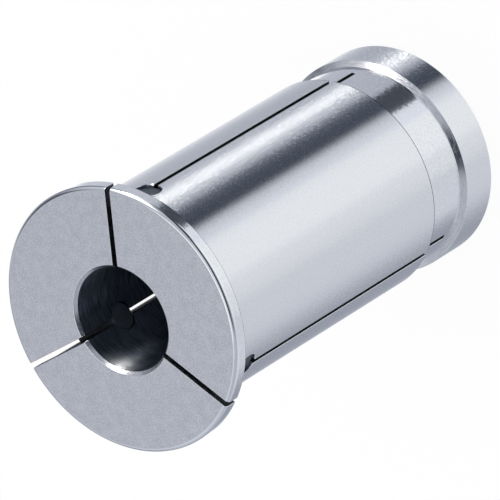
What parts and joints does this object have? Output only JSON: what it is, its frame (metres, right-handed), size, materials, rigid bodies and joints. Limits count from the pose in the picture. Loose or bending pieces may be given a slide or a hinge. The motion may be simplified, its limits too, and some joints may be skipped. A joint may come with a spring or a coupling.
{
  "type": "reducing sleeve",
  "caption": "Slotted reducing sleeve with a thin flange, a plain bore, a relieved neck, a guide collar and sealed slot holes.",
  "frame": {"origin": "centre of the rear end face, the end that enters the chuck first", "axes": "+Z along the sleeve's axis towards the flange; +Y through the middle of the first slot"},
  "size_m": [0.0304, 0.0304, 0.0522],
  "materials": {
    "ground_steel": "hardened steel, finely ground outside and in the bore, lapped front face",
    "seal_rubber": "matt dark slate sealing rubber"
  },
  "bodies": {
    "root": {"sleeve": "ground_steel", "seal_plug_1": "seal_rubber", "seal_plug_2": "seal_rubber", "seal_plug_3": "seal_rubber"}
  },
  "joints": []
}
